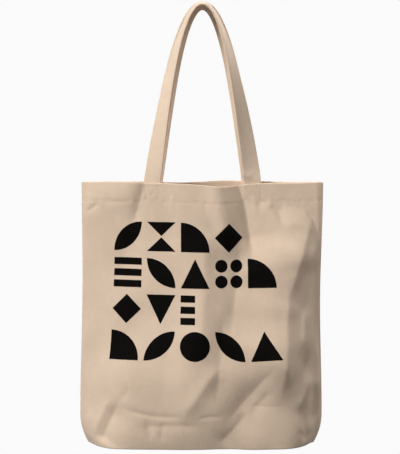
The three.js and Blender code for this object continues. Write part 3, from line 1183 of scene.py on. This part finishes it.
@dataclass
class BagStitches:
    """The stitch lines of the hem and of the four strap ends."""

    panel: Panel
    maker: StitchMaker
    strap_x: float
    box_bottom: float = 24.0 * MM
    outer_lift: float = 0.6 * MM
    hem_inner_lift: float = -2.4 * MM
    end_inset: float = 5.0 * MM
    thread_clear: float = 0.08 * MM

    def line(self, start: Point, end: Point, lift: float, spacing: float = MM) -> Seam:
        """A straight seam on the flat cloth.

        Args:
            start: across and drop of its start, in metres.
            end: across and drop of its end.
            lift: how far outside the cloth it lies; inside where negative.
            spacing: the distance between its points.

        Returns:
            Its points and their outward normals.
        """
        count = max(3, int(math.hypot(end[0] - start[0], end[1] - start[1]) / spacing))
        across = np.linspace(start[0], end[0], count)
        drop = np.linspace(start[1], end[1], count)
        points = self.panel.cloth.sample(across, drop, lift)
        beyond = self.panel.cloth.sample(across, drop, lift + math.copysign(MM, lift))
        return points, unit(beyond - points)

    def box(self, x: float, lift: float) -> list[Seam]:
        """The box and cross over one strap end.

        Args:
            x: where the strap stands at the mouth.
            lift: how far outside the cloth it lies; inside where negative.

        Returns:
            Its six seams.
        """
        middle = self.panel.cloth.across_at(x)
        half = STRAP_WIDTH / 2 - STRAP_INSET
        left, right, top, low = middle - half, middle + half, BOX_TOP, self.box_bottom
        corners = [(left, low), (right, low), (right, top), (left, top)]
        order = ((0, 1), (1, 2), (2, 3), (3, 0), (0, 2), (1, 3))
        return [self.line(corners[a], corners[b], lift) for a, b in order]

    def build(self, material: bpy.types.Material) -> None:
        """Sews the hem and the four boxes of one side.

        Args:
            material: its finish.
        """
        word = self.panel.side.word
        drop = self.panel.stitch_drop
        reach = self.panel.cloth.flat_width / 2 - self.end_inset
        inner_reach = reach - self.end_inset
        hem = [
            self.line((-reach, drop), (reach, drop), self.outer_lift),
            self.line((-inner_reach, drop), (inner_reach, drop), self.hem_inner_lift),
        ]
        self.finish(self.maker.lay(f"{word}_hem_stitching", hem, material), f"{word}_hem_stitch")
        inside = STRAP_LIFT - STRAP_THICKNESS / 2 - self.thread_clear
        for end, place in ((-1, "left"), (1, "right")):
            lines = self.box(end * self.strap_x, self.outer_lift) + self.box(end * self.strap_x, inside)
            piece = self.maker.lay(f"{word}_box_stitching_{place}", lines, material)
            self.finish(piece, f"{word}_box_stitch_{place}")

    def finish(self, piece: bpy.types.Object, node: str) -> None:
        """Puts a line of stitches on the bag.

        Args:
            piece: the piece.
            node: the frame node that it stands for.
        """
        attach(piece, "bag")
        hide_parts(node)


# Handles


@dataclass
class Strap:
    """One handle: a pressed four-ply strap, sewn inside the hem at both ends and turned edge-on above."""

    side: Side
    panel: Panel
    maker: StitchMaker
    leg_x: float
    tilt: float
    width: float = STRAP_WIDTH
    thickness: float = STRAP_THICKNESS
    lift: float = STRAP_LIFT
    end_length: float = 28.0 * MM
    shoulder: float = 30.0 * MM
    elbow_in: float = 21.0 * MM
    elbow_rise: float = 150.0 * MM
    twist_power: float = 0.8
    ridge_gap: float = 0.3 * MM
    end_rows: int = 12
    arch_rows: int = 190
    columns: int = 11
    clear_rows: int = 3
    ease_passes: int = 12
    ease_rows: float = 7.0
    crease_half: float = 2.4
    stitch_clear: float = 0.06 * MM
    edge_bevel: float = 0.85 * MM
    bend_low: float = -2.0 * MM
    bend_high: float = 13.0 * MM
    puckers: tuple[tuple[float, float, float], ...] = ((9.0, 0.45, 1.9), (15.0, 0.2, 1.4))

    def foot(self, end: int) -> tuple[Array, float]:
        """The middle of a strap end at the mouth edge, and how far the cloth is turned there.

        Args:
            end: -1 for the left, 1 for the right.

        Returns:
            The place and the turn, in radians.
        """
        cloth = self.panel.cloth
        spot = cloth.across_at(end * self.leg_x)
        foot = cloth.sample(spot, 0.0, self.lift)
        face = cloth.sample(spot, 0.0, self.lift + MM) - foot
        return foot, math.atan2(face[0] * end, face[1] * self.side.value)

    def leg(self, end: int, top: Array) -> tuple[Array, Array, Array]:
        """Half of the arch, from a foot up to the top.

        Args:
            end: -1 for the left leg, 1 for the right one.
            top: the middle of the strap at the top of the arch.

        Returns:
            The leg's middle line, width directions and outward normals.
        """
        foot, foot_turn = self.foot(end)
        share = self.elbow_rise / (top[2] - foot[2])
        elbow = np.array([foot[0] - end * self.elbow_in, 0.0, foot[2] + self.elbow_rise])
        elbow[1] = foot[1] + (top[1] - foot[1]) * share
        level = np.array([end * self.shoulder, top[1], top[2]])
        t = np.linspace(0, 1, self.arch_rows // 2)[:, None]
        line = foot * (1 - t) ** 3 + 3 * elbow * t * (1 - t) ** 2
        line = line + 3 * level * t**2 * (1 - t) + top * t**3
        rise = np.clip((line[:, 2] - foot[2]) / (top[2] - foot[2]), 0, 1)
        lean = smooth(0, self.width, line[:, 2] - foot[2])[:, None]
        slope = unit(np.gradient(line, axis=0))
        slope = unit(slope * lean + np.array([0, 0, 1.0]) * (1 - lean))
        outward = unit(np.cross(slope, np.array([0, 1.0, 0]))) * -end
        turn = foot_turn + (math.pi / 2 - self.tilt - foot_turn) * rise**self.twist_power
        ahead = np.array([0, self.side.value, 0])
        normal = ahead * np.cos(turn)[:, None] + outward * np.sin(turn)[:, None]
        width = unit(np.cross(slope, normal)) * -end
        return line, width, normal

    def frames(self) -> tuple[Array, ...]:
        """The arch's middle line, width directions and outward normals, from left foot to right foot.

        Returns:
            Three tables, one row for each place along the arch.
        """
        half, thick = self.width / 2, self.thickness / 2
        cosine, sine = math.cos(self.tilt), math.sin(self.tilt)
        top_y = self.side.value * (half * cosine + thick * sine + self.ridge_gap)
        top = np.array([0.0, top_y, thick * cosine - half * sine])
        left = self.leg(-1, top)
        right = [part[::-1][1:] for part in self.leg(1, top)]
        return tuple(np.concatenate(pair) for pair in zip(left, right))

    def sheet_places(self) -> Array:
        """The strap's middle sheet: rows along it from the left end, columns across its width.

        Returns:
            The table of places.
        """
        middle, width, _ = self.frames()
        spots = np.linspace(-self.width / 2, self.width / 2, self.columns)
        arch = middle[:, None, :] + width[:, None, :] * spots[None, :, None]
        drops = np.linspace(self.end_length, 0, self.end_rows, endpoint=False)
        ends = []
        for end in (-1, 1):
            centre = self.panel.cloth.across_at(end * self.leg_x)
            order = spots if (end * self.side.value) > 0 else -spots
            across, drop = np.meshgrid(centre + order, drops)
            ends.append(self.panel.cloth.sample(across, drop, self.lift))
        whole = np.concatenate([ends[0], arch, ends[1][::-1]])
        return self.relaxed(whole)

    def relaxed(self, places: Array) -> Array:
        """Eases the two bends where the strap leaves the hem, and keeps the rest as it is.

        Args:
            places: the table of places, rows along the strap.

        Returns:
            The eased table.
        """
        soft = places.copy()
        for _ in range(self.ease_passes):
            soft[1:-1] = soft[1:-1] * 0.5 + (soft[:-2] + soft[2:]) * 0.25
        rows = np.arange(len(places))
        from_end = np.minimum(rows, len(places) - 1 - rows)
        near = np.exp(-(((from_end - self.end_rows) / self.ease_rows) ** 2))
        return places * (1 - near[:, None, None]) + soft * near[:, None, None]

    def puckered(self, places: Array, run: Array, spots: Array) -> Array:
        """Presses the small slanted creases into the strap above its right foot.

        Args:
            places: the table of places, rows along the strap.
            run: the distance along the strap at each row.
            spots: the places across the strap, in metres.

        Returns:
            The creased table.
        """
        normals = unit(np.cross(np.gradient(places, axis=1), np.gradient(places, axis=0)))
        above = (run[-1] - run - self.end_length)[:, None] / MM
        depth = np.zeros(places.shape[:2])
        for rise, slant, size in self.puckers:
            beside = above - rise - slant * spots[None, :] / MM
            depth += size * MM * np.exp(-((beside / self.crease_half) ** 2))
        return places + normals * depth[..., None]

    def build(self, cloth: bpy.types.Material, thread: bpy.types.Material) -> None:
        """Makes the strap and its two rows of edge stitches.

        Args:
            cloth: the cloth's finish.
            thread: the thread's finish.
        """
        word = self.side.word
        places = self.sheet_places()
        run = distance_along(places[:, self.columns // 2])
        spots = np.linspace(-self.width / 2, self.width / 2, self.columns)
        places = self.puckered(places, run, spots)
        flat = np.stack(np.broadcast_arrays(spots[None, :], run[:, None]), axis=-1)
        strap = grid_sheet(f"{word}_strap", places, flat)
        LOG.info("%s strap: %.0f mm from end to end", word, run[-1] / MM)
        apply(strap, "SOLIDIFY", thickness=self.thickness, offset=0.0)
        sharp = math.radians(50)
        apply(strap, "BEVEL", width=self.edge_bevel, segments=3, limit_method="ANGLE", angle_limit=sharp)
        dress(strap, cloth, 50)
        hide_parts(f"{word}_handle", f"{word}_strap_end_left", f"{word}_strap_end_right")
        self.bend(strap)
        normals = unit(np.cross(np.gradient(places, axis=1), np.gradient(places, axis=0)))
        offset = self.thickness / 2 + self.stitch_clear
        skip = self.end_rows + self.clear_rows
        for name, spot in (("upper", STRAP_INSET), ("lower", self.width - STRAP_INSET)):
            column = spot / self.width * (self.columns - 1)
            low, share = int(column), column - int(column)
            line = places[:, low] * (1 - share) + places[:, low + 1] * share
            face = unit(normals[:, low] * (1 - share) + normals[:, low + 1] * share)
            lines = [(line + face * offset, face), (line - face * offset, -face)]
            lines[0] = (lines[0][0][skip:-skip], face[skip:-skip])
            piece = self.maker.lay(f"{word}_strap_{name}_stitching", lines, thread)
            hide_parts(f"{word}_handle_{name}_stitch")
            self.bend(piece)

    def bend(self, piece: bpy.types.Object) -> None:
        """Bakes a piece's place into its mesh; the piece is not bent over the mouth edge.

        Args:
            piece: the piece.
        """
        edge = self.panel.form.mouth_z
        start, end = (0, 0, edge + self.bend_low), (0, 0, edge + self.bend_high)
        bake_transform(piece)


# Inner seams


@dataclass
class InnerSeams:
    """The trimmed, overlocked allowances inside the sides and the bottom."""

    front: Panel
    back: Panel
    thickness: float = 1.6 * MM
    side_out: float = 2.4 * MM
    side_in: float = 11.0 * MM
    mouth_clear: float = 3.0 * MM
    foot_clear: float = 12.0 * MM
    side_rows: int = 110
    side_sway: float = 0.22 * MM
    bottom_foot: float = 1.2 * MM
    bottom_height: float = 9.0 * MM
    bottom_lift: float = -2.0 * MM
    bottom_inset: float = 10.0 * MM
    bottom_rows: int = 130
    columns: int = 5
    zigzag_pitch: float = 2.6 * MM
    zigzag_clear: float = 0.1 * MM

    def build(self, cloth: bpy.types.Material, thread: bpy.types.Material) -> None:
        """Makes the four seams and their overlock threads.

        Args:
            cloth: the cloth's finish.
            thread: the thread's finish.
        """
        for word, end in (("left", -1), ("right", 1)):
            self.side(word, end, cloth, thread)
        for panel in (self.front, self.back):
            self.bottom(panel, cloth, thread)

    def side(self, word: str, end: int, cloth: bpy.types.Material, thread: bpy.types.Material) -> None:
        """One side seam, from the bottom to the hem.

        Args:
            word: the side in the names of its pieces.
            end: -1 for the left, 1 for the right.
            cloth: the cloth's finish.
            thread: the thread's finish.
        """
        sheet = self.front.cloth
        drops = np.linspace(self.mouth_clear, sheet.form.height - self.foot_clear, self.side_rows)
        edge = sheet.sample(np.full_like(drops, end * sheet.flat_width / 2), drops)
        sway = self.side_sway * np.sin(drops / (9 * MM)) * np.sin(drops / (31 * MM))
        insets = np.linspace(self.side_out, self.side_in, self.columns)
        places = np.empty((len(drops), len(insets), 3))
        places[..., 0] = edge[:, 0:1] - end * insets
        places[..., 1] = sway[:, None] * (insets / self.side_in) ** 2
        places[..., 2] = edge[:, 2:3]
        flat = np.stack(np.broadcast_arrays(insets[None, :], -drops[:, None]), axis=-1)
        strip = self.strip(f"{word}_side_allowance", places, flat, cloth, f"{word}_side_seam")
        LOG.info("%s: %d faces", strip.name, len(strip.data.polygons))
        across = np.tile([0.0, 1.0, 0.0], (len(drops), 1))
        self.overlock(f"{word}_side_overlock", places[:, -1], places[:, -3], across, thread)

    def bottom(self, panel: Panel, cloth: bpy.types.Material, thread: bpy.types.Material) -> None:
        """One bottom seam, standing against the foot of a panel.

        Args:
            panel: the panel that it stands against.
            cloth: the cloth's finish.
            thread: the thread's finish.
        """
        sheet = panel.cloth
        reach = sheet.flat_width / 2 - self.bottom_inset
        across = np.linspace(-reach, reach, self.bottom_rows)
        heights = np.linspace(self.bottom_foot, self.bottom_height, self.columns)
        spot, height = np.meshgrid(across, heights, indexing="ij")
        places = sheet.sample(spot, sheet.form.height - height, self.bottom_lift)
        flat = np.stack([spot, height], axis=-1)
        word = panel.side.word
        self.strip(f"bottom_{word}_allowance", places, flat, cloth, f"bottom_{word}_seam")
        beyond = sheet.sample(across, sheet.form.height - heights[-1], self.bottom_lift - MM)
        face = unit(beyond - places[:, -1])
        self.overlock(f"bottom_{word}_overlock", places[:, -1], places[:, -3], face, thread)

    def strip(
        self, name: str, places: Array, flat: Array, cloth: bpy.types.Material, node: str
    ) -> bpy.types.Object:
        """Makes one allowance, a strip with a square cut edge; the overlock thread is laid over it
        separately.

        Args:
            name: the name it gets.
            places: the table of places, rows along the strap.
            flat: the flat coordinates of each vertex.
            cloth: the cloth's finish.
            node: the frame node that it stands for.

        Returns:
            The allowance.
        """
        piece = grid_sheet(name, places, flat)
        apply(piece, "SOLIDIFY", thickness=self.thickness, offset=0.0)
        dress(piece, cloth, 50)
        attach(piece, "bag")
        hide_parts(node)
        return piece

    def overlock(
        self, name: str, inner: Array, outer: Array, face: Array, thread: bpy.types.Material
    ) -> None:
        """Zigzags thread over both faces of a cut edge.

        Args:
            name: the piece's name.
            inner: the cut edge's points.
            outer: points a few millimetres into the allowance.
            face: normals of the allowance.
            thread: the thread's finish.
        """
        run = distance_along(inner)
        lines = []
        pitch = self.zigzag_pitch
        lift = self.thickness / 2 + self.zigzag_clear
        for k in range(int(run[-1] / pitch)):
            near = at_distance(k * pitch, run, inner)
            far = at_distance((k + 0.5) * pitch, run, outer)
            following = at_distance((k + 1) * pitch, run, inner)
            up = at_distance(k * pitch, run, face)
            for sign in (-1, 1):
                shift = up * sign * lift
                normal = np.tile(up * sign, (2, 1))
                lines.append((np.stack([near + shift, far + shift]), normal))
                lines.append((np.stack([far + shift, following + shift]), normal))
        maker = StitchMaker(length=4.4 * MM, pitch=4.5 * MM, width=0.4 * MM, height=0.3 * MM)
        piece = maker.lay(name, lines, thread)
        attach(piece, "bag")


# Printed artwork


class Tile(Enum):
    """The shapes of the printed pattern, each drawn in a square from -0.5 to 0.5."""

    DISC = "disc"
    PEAK = "peak"
    DIP = "dip"
    LEAF = "leaf"
    SEED = "seed"
    DIAMOND = "diamond"
    GLASS = "glass"
    BARS = "bars"
    BEADS = "beads"
    WEDGE = "wedge"


def arc(centre: Point, radius: float, start: float, end: float, steps: int = 24) -> list[Point]:
    """Points along an arc, with angles in degrees."""
    angles = np.radians(np.linspace(start, end, steps + 1))
    return [(centre[0] + radius * math.cos(a), centre[1] + radius * math.sin(a)) for a in angles]


def tile_outlines(tile: Tile) -> list[list[Point]]:
    """The closed outlines of one tile, anticlockwise.

    Args:
        tile: the shape.

    Returns:
        One list of points for each outline.
    """
    h = 0.5
    bars = [(-h, -0.26), (-0.12, 0.12), (0.26, h)]
    outlines = {
        Tile.DISC: [arc((0, 0), h, 0, 360, 56)[:-1]],
        Tile.PEAK: [[(-h, -h), (h, -h), (0, h)]],
        Tile.DIP: [[(-h, h), (0, -h), (h, h)]],
        Tile.LEAF: [arc((-h, h), 1.0, -90, 0)[:-1] + arc((h, -h), 1.0, 90, 180)[:-1]],
        Tile.SEED: [arc((-h, -h), 1.0, 0, 90)[:-1] + arc((h, h), 1.0, 180, 270)[:-1]],
        Tile.DIAMOND: [[(0, -h), (h, 0), (0, h), (-h, 0)]],
        Tile.GLASS: [[(-h, -h), (h, -h), (0, -0.02)], [(-h, h), (0, 0.02), (h, h)]],
        Tile.BARS: [[(-h, low), (h, low), (h, high), (-h, high)] for low, high in bars],
        Tile.BEADS: [arc((x, y), 0.22, 0, 360, 28)[:-1] for x in (-0.27, 0.27) for y in (-0.27, 0.27)],
        Tile.WEDGE: [[(-h, -h), *arc((-h, -h), 1.0, 0, 90, 30)]],
    }
    return outlines[tile]


@dataclass
class Artwork:
    """Four rows of plain black shapes, ranged left and printed on the front.

    One row is shorter than the others and ends in a narrow shape.
    """

    cloth: Cloth
    left: float = -137.5 * MM
    first_top: float = 57.5 * MM
    tile: float = 44.0 * MM
    row_pitch: float = 54.3 * MM
    gap: float = 8.2 * MM
    film: float = 0.1 * MM
    clearance: float = 0.06 * MM
    short_row: int = 2
    short_share: float = 0.5
    rows: tuple[tuple[Tile, ...], ...] = (
        (Tile.LEAF, Tile.GLASS, Tile.WEDGE, Tile.DIAMOND),
        (Tile.BARS, Tile.SEED, Tile.PEAK, Tile.BEADS, Tile.WEDGE),
        (Tile.DIAMOND, Tile.DIP, Tile.BARS),
        (Tile.WEDGE, Tile.LEAF, Tile.DISC, Tile.SEED, Tile.PEAK),
    )

    def draw(self) -> bmesh.types.BMesh:
        """Draws the flat pattern, in metres across and up.

        Returns:
            The flat pattern.
        """
        drawing = bmesh.new()
        for number, row in enumerate(self.rows):
            left = self.left
            middle = -(self.first_top + number * self.row_pitch + self.tile / 2)
            for place, tile in enumerate(row, 1):
                ends_short = number == self.short_row and place == len(row)
                width = self.tile * (self.short_share if ends_short else 1.0)
                for outline in tile_outlines(tile):
                    corners = [(left + width * (x + 0.5), middle + self.tile * y, 0) for x, y in outline]
                    drawing.faces.new([drawing.verts.new(corner) for corner in corners])
                left += width + self.gap
        return drawing

    def cut(self, drawing: bmesh.types.BMesh) -> None:
        """Cuts the pattern along the cloth's own grid, so that it lies in the cloth's faces.

        Args:
            drawing: the flat pattern.
        """
        xs = [v.co.x for v in drawing.verts]
        ys = [v.co.y for v in drawing.verts]
        cuts = [((x, 0, 0), (1, 0, 0)) for x in self.cloth.spots if min(xs) < x < max(xs)]
        cuts += [((0, -d, 0), (0, 1, 0)) for d in self.cloth.drops if min(ys) < -d < max(ys)]
        for place, normal in cuts:
            whole = drawing.verts[:] + drawing.edges[:] + drawing.faces[:]
            bmesh.ops.bisect_plane(drawing, geom=whole, dist=1e-6, plane_co=place, plane_no=normal)
        bmesh.ops.triangulate(drawing, faces=drawing.faces[:])

    def build(self, material: bpy.types.Material) -> None:
        """Prints the pattern on the cloth.

        Args:
            material: its finish.
        """
        drawing = self.draw()
        self.cut(drawing)
        mesh = bpy.data.meshes.new("front_print")
        drawing.to_mesh(mesh)
        drawing.free()
        piece = new_piece("front_print", mesh)
        flat = vertices_of(mesh)[:, :2]
        lift = self.cloth.form.cloth / 2 + self.clearance
        places = self.cloth.sample(flat[:, 0], -flat[:, 1], lift)
        mesh.vertices.foreach_set("co", places.ravel())
        lay_flat_map(piece, flat)
        mesh.update()
        apply(piece, "SOLIDIFY", thickness=self.film, offset=1.0)
        dress(piece, material, 60)
        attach(piece, "bag")


# Studio


@dataclass
class Studio:
    """A wide round room of pale paper, the softboxes in it and the camera.

    Each softbox has a name, a place, the length of its sides and its power.
    """

    aim: tuple[float, float, float] = (-0.0036, 0.0, -0.338)
    distance: float = 5.0
    camera_height: float = 0.30
    lens: float = 265.4
    floor_drop: float = 5.8
    room_radius: float = 10.0
    wall_height: float = 20.0
    sweep: float = 2.5
    room_sides: int = 96
    sweep_steps: int = 12
    air_low: float = 0.24
    air_high: float = 0.04
    softboxes: tuple[tuple[str, tuple[float, float, float], float, float], ...] = (
        ("key", (-2.4, -2.2, 1.7), 1.2, 129.0),
        ("fill", (2.3, -1.9, 1.0), 1.6, 8.0),
        ("rim", (1.9, 0.7, 1.7), 1.2, 38.0),
        ("top", (-0.4, -0.6, 2.0), 1.2, 19.0),
        ("back", (1.9, 2.6, 1.7), 1.3, 82.0),
        ("back_fill", (-2.4, 2.2, 1.0), 1.6, 16.0),
    )

    def build(self, paper: bpy.types.Material) -> None:
        """Sets up everything that isn't the bag.

        Args:
            paper: the room's finish.
        """
        self.camera()
        self.floor(paper)
        self.lights()

    def camera(self) -> None:
        """Places the camera a little above the mouth, far off with a long lens."""
        data = bpy.data.cameras.new("camera")
        data.lens = self.lens
        data.clip_end = 60.0
        camera = new_piece("camera", data)
        camera.location = (self.aim[0], -self.distance, self.camera_height)
        self.turn_to_bag(camera)
        bpy.context.scene.camera = camera

    def turn_to_bag(self, item: bpy.types.Object) -> None:
        """Turns a camera or a light to the middle of the bag."""
        item.rotation_euler = (Vector(self.aim) - item.location).to_track_quat("-Z", "Y").to_euler()

    def floor(self, paper: bpy.types.Material) -> None:
        """Stands the bag in the room, which is open above and has its floor swept up into the wall.

        Args:
            paper: the room's finish.
        """
        deselect()
        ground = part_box("bottom_panel")[0].z - self.floor_drop
        middle = (0, 0, ground + self.wall_height / 2)
        sizes = {"vertices": self.room_sides, "radius": self.room_radius, "depth": self.wall_height}
        bpy.ops.mesh.primitive_cylinder_add(end_fill_type="NGON", location=middle, **sizes)
        room = name_piece(bpy.context.active_object, "studio_floor")
        bpy.ops.object.transform_apply(location=True, rotation=True, scale=True)
        bpy.ops.object.mode_set(mode="EDIT")
        bpy.ops.mesh.select_mode(type="FACE")
        bpy.ops.mesh.select_all(action="DESELECT")
        bm = bmesh.from_edit_mesh(room.data)
        for face in bm.faces:
            face.select_set(face.normal.z > 0.5)
        bmesh.update_edit_mesh(room.data)
        bpy.ops.mesh.delete(type="FACE")
        bpy.ops.mesh.select_all(action="SELECT")
        bpy.ops.mesh.flip_normals()
        bpy.ops.object.mode_set(mode="OBJECT")
        rounding = {"width": self.sweep, "segments": self.sweep_steps}
        apply(room, "BEVEL", limit_method="ANGLE", angle_limit=1.0, **rounding)
        dress(room, paper, 60)
        room.visible_diffuse = False
        room.visible_glossy = False
        room.visible_shadow = False

    def lights(self) -> None:
        """Hangs the softboxes and sets the air's own faint light."""
        for name, place, size, power in self.softboxes:
            self.softbox(name, place, size, power)
        world = bpy.data.worlds.new("studio_air")
        world.use_nodes = True
        tree = world.node_tree
        background = tree.nodes["Background"]
        ramp = tree.nodes.new("ShaderNodeValToRGB")
        split = tree.nodes.new("ShaderNodeSeparateXYZ")
        place = tree.nodes.new("ShaderNodeTexCoord")
        for stop, level in zip(ramp.color_ramp.elements, (self.air_low, self.air_high)):
            stop.color = (level, level, level, 1.0)
        tree.links.new(place.outputs["Generated"], split.inputs[0])
        tree.links.new(split.outputs["Z"], ramp.inputs["Fac"])
        tree.links.new(ramp.outputs["Color"], background.inputs["Color"])
        bpy.context.scene.world = world
        bpy.context.scene.view_settings.view_transform = "Standard"

    def softbox(self, name: str, place: tuple[float, float, float], size: float, power: float) -> None:
        """Hangs one square softbox, turned to the bag.

        Args:
            name: the name it gets.
            place: where it hangs.
            size: the length of its sides.
            power: its power in watts.
        """
        data = bpy.data.lights.new(name, "AREA")
        data.size = size
        data.energy = power
        lamp = new_piece(name, data)
        lamp.location = place
        self.turn_to_bag(lamp)


# Assembly


def build_bag() -> None:
    """Builds every piece of the bag on the loaded frame."""
    cloths = (CLOTH_FINISH, STRAP_FINISH, SEAM_FINISH)
    twill, strap_twill, seam_twill = (cloth.build() for cloth in cloths)
    thread = THREAD_FINISH.build()
    form = BagForm()
    maker = StitchMaker()
    front = Panel(Side.FRONT, form, FRONT_CREASES)
    back = Panel(Side.BACK, form, BACK_CREASES, leg_x=72.5 * MM)
    for panel, tilt in ((front, 4.0), (back, 30.0)):
        panel.build(twill)
        LOG.info("%s panel: %d faces", panel.side.word, len(panel.piece.data.polygons))
        BagStitches(panel, maker, strap_x=panel.leg_x).build(thread)
        Strap(panel.side, panel, maker, panel.leg_x, math.radians(tilt)).build(strap_twill, thread)
    BottomCloth(front, back).build(twill)
    InnerSeams(front, back).build(seam_twill, thread)
    Artwork(front.cloth).build(INK_FINISH.build())


def main() -> None:
    """Loads the frame, dresses it and sets the studio up."""
    logging.basicConfig(level=logging.INFO, format="%(name)s: %(message)s")
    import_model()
    Studio().build(PAPER.build())
    build_bag()


if __name__ == "__main__":
    main()
